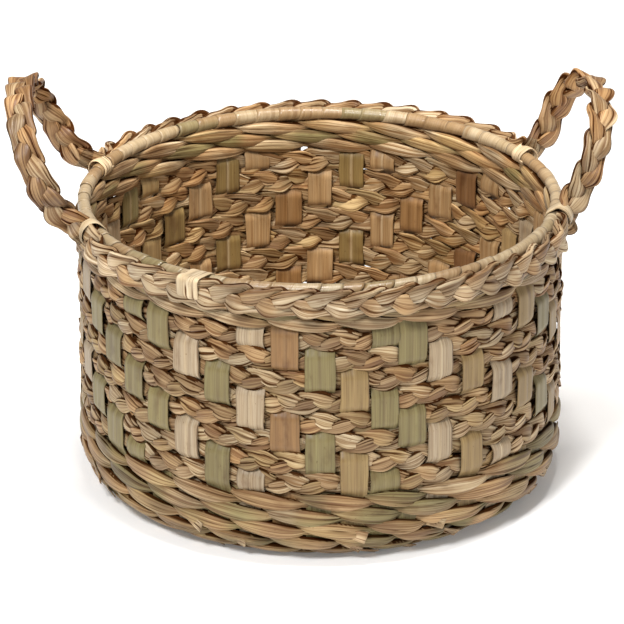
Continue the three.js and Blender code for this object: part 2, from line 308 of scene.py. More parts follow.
def strand(
    rng, centre, across, half_width, half_depth, colours, loop,
    sides=34, pleat=0.45 * MM, lines=1.0,
):
    """The skin of a bundle of folded leaf along a middle line, flat across one direction.

    Each of its pleats dips gently on one side and sharply on the other, as one leaf's edge on the
    next, and the pleats drift round the strand. Pleat is their depth, and lines is how dark the
    painted shade in their creases is; the edges get painted shade too. The colour changes between
    three leaf colours from place to place.
    """
    along, total = distances(centre, loop)
    tangent = tangents(centre, loop)
    through = unit(np.cross(tangent, across))
    across = np.cross(through, tangent)
    drift = partial(wander, rng, along[:, None], total)
    turn = (TAU * np.arange(sides) / sides)[None, :]
    x = np.sign(np.cos(turn)) * np.abs(np.cos(turn)) ** 0.9
    y = np.sign(np.sin(turn)) * np.abs(np.sin(turn)) ** 0.5
    relief, crease = 0, 0
    for number in range(PLEATS):
        place = TAU * (number + rng.uniform(0, 0.6)) / PLEATS
        place = place + 0.4 * drift(0.03)
        away = (turn - place + math.pi) % TAU - math.pi
        deep = np.clip(0.6 + 0.7 * drift(0.016), 0, 1.3)
        reach = np.where(away > 0, PLEAT_SHARP, PLEAT_GENTLE)
        relief = relief - deep * np.exp(-np.abs(away) / reach)
        crease = crease + deep * np.exp(-((away / CREASE_REACH) ** 2))
    swell = 1 + 0.06 * drift(0.015)
    w = (half_width[:, None] * swell + 0.5 * pleat * relief) * x
    d = (half_depth[:, None] / swell + pleat * (relief + 0.5)) * y
    grid = centre[:, None, :] + w[..., None] * across[:, None, :] + d[..., None] * through[:, None, :]
    # Painted shade: dark lines in the pleats' creases and along the strand's edges.
    fold_shade = lines * crease + 0.3 * smooth((np.abs(x) - STRAND_EDGE) / (1 - STRAND_EDGE))
    fibre_along = along[:, None] + rng.uniform(0, FIBRE_SCATTER)
    fibre_across = FIBRE_WIDTH * x + rng.uniform(0, FIBRE_SCATTER)
    fibre = np.stack(np.broadcast_arrays(fibre_along, fibre_across, FIBRE_DEPTH * y), -1)
    a, b, c = (linear(colour) for colour in colours)
    colour = mixed(a, b, smooth(0.5 + 0.9 * drift(0.024))[..., None])
    side = 0.5 + 0.5 * np.sin(turn + 2.5 * drift(0.05))
    share = smooth(0.5 + drift(0.035)) * side
    colour = mixed(colour, c, share[..., None])
    colour = colour * (1 + 0.27 * drift(0.024)[..., None])
    return grid, fibre, colour, fold_shade


SKIN_CELL = 0.7 * MM  # width of the cells that the skin of crossing strands is measured in
SKIN_CELLS = 48
SKIN_EDGE = -2.5 * MM  # height of the skin where there is no strand
CREASE_START, CREASE_END = -0.05, 0.55  # cover, in thicknesses, where the painted shade under another strand starts and is darkest
# How strong the painted shade is under the edges of other strands
CREASE_SHADE_STRENGTH = 1.5
OWN_SKIN = 0.85  # how much of a strand's own height counts as lying over its edges


def covered(grids, middle, across, normal):
    """How far each point of crossing strands lies under the blurred skin of the others, in metres."""
    local = grids - middle[:, None, :]
    side = np.einsum("nijk,ik->nij", local, across)
    lift = np.einsum("nijk,ik->nij", local, normal)
    column = np.clip(np.round(side / SKIN_CELL).astype(int) + SKIN_CELLS // 2, 0, SKIN_CELLS - 1)
    row = np.broadcast_to(np.arange(len(middle))[None, :, None], column.shape)
    number = np.broadcast_to(np.arange(len(grids))[:, None, None], column.shape)
    faces = lift > lift.mean(axis=2, keepdims=True)
    under = np.zeros_like(lift)
    for turned in (1, -1):
        skins = np.full((len(grids), len(middle), SKIN_CELLS), SKIN_EDGE)
        np.maximum.at(skins, (number, row, column), turned * lift)
        others = np.stack([np.delete(skins, own, axis=0).max(axis=0) for own in range(len(grids))])
        others = np.maximum(others, np.maximum(np.roll(others, 1, 2), np.roll(others, -1, 2)))
        for axis in (1, 2, 2):
            others = (2 * others + np.roll(others, 1, axis) + np.roll(others, -1, axis)) / 4
        skin = np.maximum(others, OWN_SKIN * skins + (1 - OWN_SKIN) * others)
        deep = skin[number, row, column] - turned * lift
        under = np.where(faces == (turned > 0), deep, under)
    return under


def lay(weave, strands, middle, across, normal, thick):
    """Adds crossing closed strands to a weave, with painted shade where one lies under the edge of the
    next.
    """
    under = covered(np.stack([grid for grid, *_ in strands]), middle, across, normal)
    for (grid, fibre, colour, fold_shade), deep in zip(strands, under):
        # Painted shade in the gaps where a strand dives under its neighbours.
        shade = smooth((deep / thick - CREASE_START) / (CREASE_END - CREASE_START))
        weave.add(grid, fibre, colour, np.clip(fold_shade + CREASE_SHADE_STRENGTH * shade, 0, 1), True)


# ---- Materials ----


class Nodes:
    """Short calls for building a material's node tree."""

    def __init__(self, name):
        self.material = bpy.data.materials.new(name)
        self.material.use_nodes = True
        self.tree = self.material.node_tree
        self.shader = self.tree.nodes["Principled BSDF"]

    def node(self, kind, **settings):
        made = self.tree.nodes.new(kind)
        for key, value in settings.items():
            setattr(made, key, value)
        return made

    def link(self, source, target):
        """Feeds a socket from another socket, a number or a colour."""
        if isinstance(source, (int, float)):
            target.default_value = source
        elif isinstance(source, tuple):
            target.default_value = (*source, 1) if len(target.default_value) == 4 else source
        else:
            self.tree.links.new(source, target)

    def math(self, operation, a, b=0.0):
        made = self.node("ShaderNodeMath", operation=operation)
        self.link(a, made.inputs[0])
        self.link(b, made.inputs[1])
        return made.outputs[0]

    def range(self, value, low, high, to_low, to_high):
        """A smooth step from to_low at low to to_high at high."""
        made = self.node("ShaderNodeMapRange", interpolation_type="SMOOTHSTEP")
        for socket, given in zip(made.inputs, (value, low, high, to_low, to_high)):
            self.link(given, socket)
        return made.outputs[0]

    def mix(self, share, a, b, kind="MIX"):
        made = self.node("ShaderNodeMix", data_type="RGBA", blend_type=kind)
        self.link(share, made.inputs[0])
        self.link(a, made.inputs[6])
        self.link(b, made.inputs[7])
        return made.outputs[2]

    def attribute(self, name, output):
        return self.node("ShaderNodeAttribute", attribute_name=name).outputs[output]

    def noise(self, place, stretch, detail):
        """Noise over a place that is stretched along the leaf. Stretch is in waves per metre."""
        mapping = self.node("ShaderNodeMapping")
        self.link(place, mapping.inputs[0])
        mapping.inputs["Scale"].default_value = stretch
        made = self.node("ShaderNodeTexNoise")
        self.link(mapping.outputs[0], made.inputs["Vector"])
        made.inputs["Scale"].default_value = 1.0
        made.inputs["Detail"].default_value = detail
        return made.outputs["Fac"]


# Waves per metre along, across and through a leaf
FINE_FIBRES = (20, 1100, 1100)
BROAD_FIBRES = (9, 360, 360)
CRACKS = (6, 430, 430)
BLOTCHES = (40, 90, 90)
SPECKS = (260, 800, 800)
# What is left of a leaf's colour where it is dark or pale, and the painted shade colour for creases,
# edges and places under other strands
DARK_LEAF = (0.42, 0.28, 0.15)
PALE_LEAF = (1.42, 1.56, 1.85)
FOLD_SHADE_COLOUR = (0.16, 0.08, 0.035)


def leaf_material(
    name, gloss=0.3, roughness=0.56, stain=0.6, lines=0.85, bump_depth=0.6, contrast=1.0,
):
    """Dried leaf: fine and broad lengthwise fibres, thin cracks, stains, painted shade in creases and a
    waxy sheen.
    """
    n = Nodes(name)
    place = n.attribute("fibre", "Vector")
    fine = n.noise(place, FINE_FIBRES, 2.0)
    broad = n.noise(place, BROAD_FIBRES, 3.0)
    crack = n.noise(place, CRACKS, 1.0)
    blotch = n.noise(place, BLOTCHES, 4.0)
    speck = n.noise(place, SPECKS, 2.0)
    colour = n.attribute("leaf_colour", "Color")
    dark = n.mix(1.0, colour, DARK_LEAF, "MULTIPLY")
    pale = n.mix(1.0, colour, PALE_LEAF, "MULTIPLY")
    colour = n.mix(n.range(broad, 0.5, 0.68, 0.0, 0.7 * contrast), colour, pale)
    colour = n.mix(n.range(broad, 0.48, 0.3, 0.0, 0.65 * contrast), colour, dark)
    colour = n.mix(n.range(fine, 0.5, 0.28, 0.0, 0.7 * contrast), colour, dark)
    colour = n.mix(n.range(fine, 0.52, 0.75, 0.0, 0.5 * contrast), colour, pale)
    away = n.math("ABSOLUTE", n.math("SUBTRACT", crack, 0.5))
    line = n.range(away, 0.0, 0.07, lines, 0.0)
    colour = n.mix(line, colour, dark)
    colour = n.mix(n.range(blotch, 0.54, 0.74, 0.0, stain), colour, dark)
    colour = n.mix(n.range(speck, 0.68, 0.76, 0.0, 0.7), colour, dark)
    # Painted shade: darkens the colour in creases, at edges and under other strands, as much as the
    # mesh's shade amount says.
    deep = n.mix(1.0, colour, FOLD_SHADE_COLOUR, "MULTIPLY")
    shade = n.range(n.attribute("fold_shade", "Fac"), 0.15, 0.9, 0.0, 0.97)
    colour = n.mix(shade, colour, deep)
    n.link(colour, n.shader.inputs["Base Color"])
    fibres = n.math("ADD", broad, n.math("MULTIPLY", fine, 0.6))
    n.link(n.range(fibres, 0.55, 1.1, roughness - 0.1, roughness + 0.16), n.shader.inputs["Roughness"])
    # The painted shade also takes the gloss and sheen away where it darkens the colour.
    lit = n.math("SUBTRACT", 1.0, shade)
    n.link(n.math("MULTIPLY", lit, gloss), n.shader.inputs["Specular IOR Level"])
    n.link(n.math("MULTIPLY", lit, 0.05), n.shader.inputs["Sheen Weight"])
    n.shader.inputs["Sheen Roughness"].default_value = 0.6
    relief = n.math("ADD", n.math("MULTIPLY", fine, 0.5), n.math("MULTIPLY", broad, 0.9))
    relief = n.math("SUBTRACT", relief, n.math("MULTIPLY", line, 0.25))
    bump = n.node("ShaderNodeBump")
    bump.inputs["Strength"].default_value = 0.7
    bump.inputs["Distance"].default_value = bump_depth * MM
    n.link(relief, bump.inputs["Height"])
    n.link(bump.outputs[0], n.shader.inputs["Normal"])
    return n.material


def place_piece(weave, slot, nodes, body="root"):
    """Finishes a weave as the piece that stands for CAD nodes."""
    piece = weave.finish(MATERIALS[slot])
    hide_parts(*nodes)
    if body:
        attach(piece, body)
    return piece


MATERIALS = {
    "leaf_stake": leaf_material(
        "dried_leaf_stake", gloss=0.35, roughness=0.5, lines=0.22, bump_depth=0.35, contrast=0.55,
    ),
    "wall_plait": leaf_material("plaited_leaf", stain=0.65, lines=0.9, contrast=1.1),
    "twined_strand": leaf_material("twisted_leaf", roughness=0.58),
    "hoop_core": leaf_material("hoop_stem", gloss=0.2, roughness=0.7),
    "hoop_wrap": leaf_material(
        "pale_wound_leaf", gloss=0.55, roughness=0.38, lines=0.2, bump_depth=0.35, contrast=0.4,
    ),
    "rim_plait": leaf_material(
        "rim_plaited_leaf",
        gloss=0.35, roughness=0.54, stain=0.7, lines=0.95, bump_depth=0.7, contrast=1.15,
    ),
    "lashing": leaf_material(
        "pale_lashing_leaf",
        gloss=0.45, roughness=0.45, stain=0.4, lines=0.3, bump_depth=0.35, contrast=0.5,
    ),
    "handle_plait": leaf_material(
        "warm_plaited_leaf",
        gloss=0.42, roughness=0.5, stain=0.75, lines=0.95, bump_depth=0.7, contrast=1.15,
    ),
}

# ---- Flat plaits ----

STEP = 1.7 * MM  # between the stations of a ring's strands
FOLD_SHARPNESS = 0.86

# How far a plait's strands swing to the sides and lift, and their half width and depth, in mm
WALL_PLAIT = (4.8, 2.0, 5.7, 1.35)
RIM_PLAIT = (5.6, 3.3, 6.5, 2.4)
WALL_PERIODS = 15


def folded(turn):
    """A wave with straight flanks and narrow turns, as a flat leaf folds back at a plait's edge."""
    return np.arcsin(FOLD_SHARPNESS * np.sin(turn)) / math.asin(FOLD_SHARPNESS)


def plait_strands(weave, middle, across, periods, shape, hand, phase, palette):
    """Three strands plaited flat about a closed middle line. Hand is which way the pattern points."""
    reach, depth, half_width, half_depth = (size * MM for size in shape)
    along, total = distances(middle, True)
    tangent = tangents(middle, True)
    normal = unit(np.cross(tangent, across))
    across = np.cross(normal, tangent)
    rng = weave.rng
    drift = partial(wander, rng, along, total)
    uneven = 0.22 * drift(0.07)
    strands = []
    for number in range(3):
        turn = TAU * periods * along / total + TAU * number / 3 + phase + uneven
        turn = turn + 0.1 * drift(0.03)
        side = reach * folded(turn) * (1 + 0.1 * drift(0.03))
        lift = hand * depth * np.sin(2 * turn)
        centre = middle + side[:, None] * across + lift[:, None] * normal
        lobe = np.sin(2 * turn) ** 2
        lean = 0.32 * hand * np.sin(turn) + 0.1 * drift(0.025)
        flat = across * np.cos(lean)[:, None] + normal * np.sin(lean)[:, None]
        width = half_width * (0.76 + 0.38 * lobe + 0.09 * drift(0.02))
        thick = half_depth * (1.1 - 0.15 * lobe)
        colours = [palette[i] for i in rng.permutation(len(palette))[:3]]
        strands.append(strand(rng, centre, flat, width, thick, colours, True))
    lay(weave, strands, middle, across, normal, half_depth)


def wall_plait(row):
    """A plait round the wall, which gives way to the stakes that cross it."""
    weave = Weave(f"plait_row_{row + 1}")
    rng = weave.rng
    count = round(TAU * WALL_RADIUS / STEP)
    angle = TAU * np.arange(count) / count
    stake = stake_at(angle)
    sides = np.array([-1.0 if is_outside(s, row) else 1.0 for s in range(STAKES + 1)])
    low = np.floor(stake).astype(int) % STAKES
    give = mixed(sides[low], sides[(low + 1) % STAKES], smooth(stake - np.floor(stake)))
    along = angle * WALL_RADIUS
    total = TAU * WALL_RADIUS
    radius = WALL_RADIUS + 1.9 * MM * give + 0.5 * MM * wander(rng, along, total, 0.08)
    middle = outward(angle) * radius[:, None]
    middle[:, 2] = ROW_HEIGHTS[row] + 0.8 * MM * wander(rng, along, total, 0.06)
    palette = [TAN, PALE, TAN, PINK, STRAW, WARM]
    phase = rng.uniform(0, TAU)
    plait_strands(weave, middle, UP, WALL_PERIODS, WALL_PLAIT, -1, phase, palette)
    place_piece(weave, "wall_plait", [f"wall_plait_{row + 1}"])


# ---- Twined rounds ----


TOP_STRAND = (4.9 * MM, 3.0 * MM)  # half width and half depth
FOOT_STRAND = (5.9 * MM, 2.6 * MM)
TOP_FIRST_LOBE, FOOT_FIRST_LOBE = 0.5, 31.5  # the stake where the first round's first twist is
WALL_ROUNDS, TURN_ROUNDS = 2, 4
ROUNDS_WITH_ENDS = (2, 3, 4)
END_COUNT, END_STATIONS = 12, 9


def twined_round(name, nodes, radius, height, slope, size, first_lobe, ends=False):
    """Two strands that change sides between pairs of stakes.

    Radius and height are the round's middle on the stakes, and slope is how far the stakes have
    turned there from upright towards flat on the floor.
    """
    half_width, half_depth = size
    weave = Weave(name)
    rng = weave.rng
    count = round(TAU * radius / STEP)
    stake = STAKES * np.arange(count) / count
    angle = crowded(stake * PITCH, radius)
    total = TAU * radius
    along = angle * radius
    out = outward(angle) * math.cos(slope) - UP * math.sin(slope)
    up = outward(angle) * math.sin(slope) + UP * math.cos(slope)
    on_stakes = outward(angle) * radius + UP * height
    palette = [TAN, STRAW, TAN, GREEN, PINK, TAN]
    strands = []
    for number in range(2):
        turn = -TAU * (stake - first_lobe) / 4 + math.pi * number
        turn = turn + 0.12 * wander(rng, along, total, 0.06)
        side = np.tanh(1.9 * np.cos(turn)) / math.tanh(1.9)
        tall = np.abs(np.cos(turn)) ** 0.7
        lift = 0.36 * half_width * np.sin(turn) + 0.5 * MM * wander(rng, along, total, 0.05)
        centre = on_stakes + out * (side * (half_depth + 0.7 * MM))[:, None] + up * lift[:, None]
        width = half_width * (0.42 + 0.66 * tall)
        thick = half_depth * (0.8 + 0.35 * tall)
        colours = [palette[i] for i in rng.permutation(len(palette))[:3]]
        strands.append(strand(rng, centre, up, width, thick, colours, True, 34, 0.5 * MM, 0.6))
    lay(weave, strands, on_stakes, up, out, 0.5 * half_depth)
    if ends:
        cut_ends(weave, radius, height, slope, size)
    place_piece(weave, "twined_strand", nodes)


def cut_ends(weave, radius, height, slope, size):
    """Short ends of leaf that stick out of a round where a new leaf was laid in."""
    half_width, half_depth = size
    rng = weave.rng
    share = np.linspace(0, 1, END_STATIONS)
    places = np.arange(END_COUNT) + rng.uniform(-0.4, 0.4, END_COUNT)
    for angle in TAU * places / END_COUNT:
        length = rng.uniform(12, 20) * MM
        angles = angle + share * length / radius
        out = outward(angles) * math.cos(slope) - UP * math.sin(slope)
        up = outward(angles) * math.sin(slope) + UP * math.cos(slope)
        lift = half_depth * (1.5 + 1.0 * share)
        drop = half_width * rng.uniform(0.3, 1.1) * share
        centre = outward(angles) * radius + UP * height + out * lift[:, None] - up * drop[:, None]
        width = rng.uniform(3.2, 5.2) * MM * (0.7 + 0.5 * share)
        skin = strand(rng, centre, up, width, 0.1 * width, [TAN, PALE, PINK], False, 26, 0.3 * MM)
        weave.add(*skin, False)


def top_rounds():
    """The three rounds below the hoop, on the upright stakes."""
    for number in range(3):
        nodes = [f"top_round_{number + 1}_{side}_strand" for side in ("outer", "inner")]
        name = f"border_twine_{number + 1}"
        height = middle_height(nodes[0])
        twined_round(name, nodes, WALL_RADIUS, height, 0.0, TOP_STRAND, TOP_FIRST_LOBE + number)


def foot_rounds():
    """The rounds of the foot: down the wall, round the turn and in under the floor's edge."""
    wall_step = (FOOT_TOP - TURN_TOP) / WALL_ROUNDS
    places = [(WALL_RADIUS, FOOT_TOP - wall_step * (i + 0.5), 0.0) for i in range(WALL_ROUNDS)]
    for step in range(TURN_ROUNDS):
        slope = (step + 0.5) / TURN_ROUNDS * math.pi / 2
        radius = FLOOR_RADIUS + TURN_RADIUS * math.cos(slope)
        places.append((radius, TURN_TOP - TURN_RADIUS * math.sin(slope), slope))
    places.append((FLOOR_RADIUS - wall_step / 2, FLOOR_HEIGHT, math.pi / 2))
    for number, (radius, height, slope) in enumerate(places):
        nodes = [f"foot_round_{number + 1}_{side}_strand" for side in ("outer", "inner")]
        name = f"foot_twine_{number + 1}"
        lobe = FOOT_FIRST_LOBE + number
        ends = number in ROUNDS_WITH_ENDS
        twined_round(name, nodes, radius, height, slope, FOOT_STRAND, lobe, ends)


# ---- Stakes ----

# Colour of each stake where it shows, counted from +X towards +Y
STAKE_COLOURS = [
    HAY, GREEN, TAN, BLUSH, STRAW, TAN, BROWN, TAN, ORANGE, TAN, OLIVE,
    TAN, ORANGE, TAN, OLIVE, TAN, OLIVE, STRAW, GREEN, BLUSH, TAN, STRAW,
    GREEN, HAY, BLUSH, GREEN, GREEN, GREEN, GREEN, BLUSH, GREEN, BLUSH, ORANGE,
    GREEN, HAY, GREEN, GREEN, BLUSH, HAY, BLUSH, HAY, GREEN, HAY, TAN,
]
# Stakes that show a pale midrib
RIBBED = {2, 9, 10, 14, 15, 18, 21, 23, 29, 31, 37, 39, 43}

STAKE_OFFSET = 3.9 * MM  # from the middle of the weave to a stake that passes a plait
STAKE_REACH = 3.8 * MM  # how far above and below a plait's middle a stake stays flat
STAKE_ENTRY = 2 * MM  # from the plaits' zone to where a stake is back at the middle
WALL_STATIONS, BEND_STATIONS, EDGE_STATIONS, FLOOR_STATIONS = 150, 22, 6, 90
WALL_COVER, FLOOR_COVER = 0.775, 0.965  # share of its pitch that a stake covers
LATTICE_EDGE = 95.5 * MM  # where the lattice of the floor begins
LATTICE_HALF_WIDTH = 8.2 * MM
LATTICE_HEIGHT, LATTICE_OFFSET = 1.6 * MM, 0.8 * MM
LEAF_SPAN = 33  # points across a leaf
LEAF_THICKNESS = 0.42 * MM  # half of it, at the middle
CAMBER, CURL, MIDRIB, RIBS, GROOVES = 0.5 * MM, 0.7 * MM, 0.45 * MM, 0.1 * MM, 0.13 * MM


def stake_line(stake):
    """One wall's half of a leaf, from its top to the edge of the lattice, as radius and height."""
    heights = np.linspace(STAKE_TOP, TURN_TOP, WALL_STATIONS)
    knots = [(TURN_TOP, 0.0), (ROW_HEIGHTS[0] - ROW_PITCH / 2 - STAKE_ENTRY, 0.0)]
    for row in range(ROWS):
        side = 1.0 if is_outside(stake, row) else -1.0
        knots += [(ROW_HEIGHTS[row] - STAKE_REACH, side), (ROW_HEIGHTS[row] + STAKE_REACH, side)]
    knots += [(ROW_HEIGHTS[-1] + ROW_PITCH / 2 + STAKE_ENTRY, 0.0), (STAKE_TOP, 0.0)]
    levels, sides = zip(*knots)
    side = np.interp(heights, levels, sides)
    side = blurred(side, np.hanning(9)[1:-1])
    wall = np.stack([WALL_RADIUS + STAKE_OFFSET * side, heights], -1)
    turn = np.linspace(0, math.pi / 2, BEND_STATIONS)[1:]
    bend = [FLOOR_RADIUS + TURN_RADIUS * np.cos(turn), TURN_TOP - TURN_RADIUS * np.sin(turn)]
    inwards = np.linspace(FLOOR_RADIUS, FLOOR_RADIUS - 11.5 * MM, EDGE_STATIONS)[1:]
    floor = [inwards, np.full(len(inwards), FLOOR_HEIGHT)]
    return np.concatenate([wall, np.stack(bend, -1), np.stack(floor, -1)])


def leaf_half(stake, angle, turn):
    """Middle points, directions across and widths of one wall's half of a leaf."""
    line = stake_line(stake)
    angles = crowded(np.full(len(line), angle), line[:, 0])
    points = outward(angles) * line[:, :1]
    points[:, 2] = line[:, 1]
    on_floor = smooth((TURN_TOP - line[:, 1]) / TURN_RADIUS)
    cover = mixed(WALL_COVER, FLOOR_COVER, on_floor)
    return points, turn * around(angles), cover * PITCH * line[:, 0] / 2


def lattice_line(leaf, is_over):
    """Middle points of a leaf across the floor, from +X to -X."""
    x = np.linspace(LATTICE_EDGE, -LATTICE_EDGE, FLOOR_STATIONS)
    sides = np.array([1.0 if is_over(leaf, column) else -1.0 for column in range(-5, 6)])
    share = x / LATTICE_PITCH
    low = np.clip(np.floor(share).astype(int), -5, 4)
    part = smooth(np.clip(share - low, 0, 1))
    heights = LATTICE_HEIGHT + LATTICE_OFFSET * mixed(sides[low + 5], sides[low + 6], part)
    return np.stack([x, np.full_like(x, leaf * LATTICE_PITCH), heights], -1)


def leaf_path(number, first_stake, is_over):
    """A leaf's middle points, directions across and half widths, and the stakes at its two ends."""
    near, far = first_stake + number, first_stake + STAKES // 2 - number
    spin = first_stake * PITCH
    a_points, a_across, a_width = leaf_half(near, spin + number * PITCH, -1)
    b_points, b_across, b_width = leaf_half(far, spin + math.pi - number * PITCH, 1)
    floor = lattice_line(number, is_over)
    turned = outward(spin) * floor[:, :1] + around(spin) * floor[:, 1:2] + UP * floor[:, 2:]
    across = np.broadcast_to(-around(spin), turned.shape)
    points = np.concatenate([a_points, turned, b_points[::-1]])
    across = np.concatenate([a_across, across, b_across[::-1]])
    width = np.concatenate([a_width, np.full(len(floor), LATTICE_HALF_WIDTH), b_width[::-1]])
    return points, across, width, near % STAKES, far % STAKES


def two_faces(span):
    """Places from -1 to 1 across both faces of a flat leaf, and which of the faces each is on."""
    v, one = np.linspace(-1, 1, span), np.ones(span)
    return np.append(v, v[::-1])[None, :], np.append(one, -one)[None, :]


def leaf(name, node, number, first_stake, is_over):
    """A broad leaf: down one wall, across the floor and up the wall opposite."""
    weave = Weave(name)
    rng = weave.rng
    points, across, width, near, far = leaf_path(number, first_stake, is_over)
    along, total = distances(points, False)
    face = unit(np.cross(tangents(points, False), across))
    across = -np.cross(face, tangents(points, False))
    on_wall = smooth((points[:, 2] - 40 * MM) / (20 * MM))
    width = width * (1 + on_wall * (0.05 + 0.09 * wander(rng, along, total, 0.035)))
    drift = partial(wander, rng, along[:, None], total)
    v, top = two_faces(LEAF_SPAN)
    camber = CAMBER * (1 - v**2) * (0.6 + 0.6 * drift(0.05))
    stakes = np.where(along < total / 2, near, far)
    ribbed = np.array([1.0 if s in RIBBED else 0.1 for s in stakes])[:, None]
    grooved = np.array([1.0 if STAKE_COLOURS[s] == BLUSH else 0.12 for s in stakes])[:, None]
    ribs = RIBS * np.cos(2.2 * v * math.pi + 1.5 * drift(0.12) + rng.uniform(0, TAU))
    between = np.abs(np.sin(5.5 * v * math.pi + 0.6 * drift(0.15)))
    ribs = ribs + GROOVES * grooved * (2 * between - 1)
    midrib = ribbed * np.exp(-((v / 0.1) ** 2))
    thickness = LEAF_THICKNESS * (1 - 0.5 * np.abs(v) ** 6)
    curl = CURL * np.abs(v) ** 3 * drift(0.025)
    ragged = 1 + 0.03 * drift(0.008) * np.sign(v)
    w = width[:, None] * v * ragged
    d = camber + ribs + curl + MIDRIB * midrib + top * thickness
    grid = points[:, None, :] + w[..., None] * across[:, None, :] - d[..., None] * face[:, None, :]
    colour = leaf_colour(rng, along, total, v, near, far, midrib)
    # Painted shade in the grooves, strongest on the grooved leaves, and along every leaf's edges.
    fold_shade = 0.5 * grooved * (1 - between) ** 3 + 0.5 * np.abs(v) ** 12
    fibre_along = along[:, None] + rng.uniform(0, FIBRE_SCATTER)
    fibre_across = w + rng.uniform(0, FIBRE_SCATTER)
    fibre = np.stack(np.broadcast_arrays(fibre_along, fibre_across, 0 * w), -1)
    weave.add(grid[:, ::-1], fibre[:, ::-1], colour[:, ::-1], fold_shade[:, ::-1], False)
    place_piece(weave, "leaf_stake", [node])


def leaf_colour(rng, along, total, v, near, far, midrib):
    """A leaf's colour: its own at each wall, paler on the midrib, and uneven."""
    change = smooth((along / total - 0.42) / 0.16)[:, None, None]
    colour = mixed(linear(STAKE_COLOURS[near]), linear(STAKE_COLOURS[far]), change)
    colour = mixed(colour, linear(CREAM), (0.5 * midrib)[..., None])
    colour = colour * (1 + 0.12 * wander(rng, along, total, 0.05)[:, None, None])
    return colour * (1 + 0.06 * np.cos(5 * v * math.pi / 2 + rng.uniform(0, TAU)))[..., None]


def stakes():
    """Eleven leaves each way. On the floor each passes over two others and under the next two."""
    runs = [
        ("x", 0, lambda number, column: (number + column) % 4 in (0, 1)),
        ("y", STAKES // 4, lambda number, column: (column - number) % 4 in (2, 3)),
    ]
    for axis, first_stake, is_over in runs:
        for number in range(-5, 6):
            node = f"stake_leaf_{axis}_{number + 6}"
            leaf(f"leaf_{axis}_{number + 6}", node, number, first_stake, is_over)


# ---- Hoop ----


BAND_TURNS = 64
BAND_STEPS = 30  # stations in one turn
BAND_SPAN = 9  # points across the band
BAND_REACH = 4.0 * MM  # from the hoop's middle to the band's lower edge
BAND_LAP = 0.8 * MM  # how much further out its upper edge lies
BAND_TONE = 0.8
STEMS, STEM_TWISTS, STEM_STATIONS, STEM_SIDES = 5, 9, 360, 10
STEM_OFFSET, STEM_HALF_WIDTH = 2.1 * MM, 1.7 * MM


def hoop():
    """The wound leaf band: each turn laps over the edge of the one before. Gives its points."""
    weave = Weave("hoop_band")
    rng = weave.rng
    pitch = TAU * HOOP_RADIUS / BAND_TURNS
    wind = (TAU * np.arange(BAND_TURNS * BAND_STEPS) / BAND_STEPS)[:, None]
    turn_number = wind / TAU
    drift = partial(wander, rng, turn_number, BAND_TURNS)
    v, top = two_faces(BAND_SPAN)
    width = 0.5 * pitch * (1.3 + 0.3 * drift(1.5))
    middle = pitch * turn_number + 3.0 * MM * drift(1.7)
    middle = middle - (pitch / TAU) * np.sin(wind - math.radians(120))
    reach = BAND_REACH + BAND_LAP * (v + 1) / 2 + 0.25 * MM * (1 - v**2)
    reach = reach + 0.1 * MM * np.cos(3 * v * math.pi + 2 * drift(0.7))
    reach = reach + 0.55 * MM * drift(1.2) + 0.2 * MM * top
    angle = (middle + width * v) / HOOP_RADIUS
    grid = outward(angle) * (HOOP_RADIUS + reach * np.cos(wind))[..., None]
    grid[..., 2] = HOOP_HEIGHT + reach * np.sin(wind)
    along = turn_number * TAU * 5 * MM
    across = width * v + rng.uniform(0, FIBRE_SCATTER)
    fibre = np.stack(np.broadcast_arrays(along, across, 0 * across), -1)
    colour = mixed(linear(CREAM), linear(PALE), 0.5 + 0.5 * drift(1.0)[..., None])
    colour = mixed(colour, 1.1 * linear(GREEN), 0.8 * smooth(1.6 * drift(2.0))[..., None])
    colour = mixed(colour, linear(TAN), 0.85 * smooth(1.8 * drift(1.6))[..., None])
    # Painted shade along both edges of the band, where each turn laps over the one before.
    fold_shade = np.clip((np.abs(v) - 0.8) * 3, 0, 1) * 0.75
    weave.add(grid, fibre, BAND_TONE * colour, fold_shade, True)
    place_piece(weave, "hoop_wrap", ["rim_hoop_wrap"])
    return np.concatenate(weave.points)


def hoop_core():
    """The twisted stems inside the band."""
    weave = Weave("hoop_stems")
    angle = TAU * np.arange(STEM_STATIONS) / STEM_STATIONS
    half = np.full(STEM_STATIONS, STEM_HALF_WIDTH)
    for number in range(STEMS):
        wind = STEM_TWISTS * angle + TAU * number / STEMS
        centre = outward(angle) * (HOOP_RADIUS + STEM_OFFSET * np.cos(wind))[:, None]
        centre[:, 2] = HOOP_HEIGHT + STEM_OFFSET * np.sin(wind)
        colours = [TAN, BROWN, STRAW]
        skin = strand(weave.rng, centre, UP, half, half, colours, True, sides=STEM_SIDES)
        weave.add(*skin, True)
    place_piece(weave, "hoop_core", ["rim_hoop_core"])


# ---- Rim plait and handles ----

# Each loop's feet, half width and height in mm, how far it leans out per mm, and how much less
# it leans with each mm of height
HANDLES = {
    "right": {"foot": 56, "half_width": 57, "height": 56.5, "lean": 0.41, "curl": 0.0},
    "left": {"foot": 67.5, "half_width": 72, "height": 67.5, "lean": 0.66, "curl": 0.0033},
}
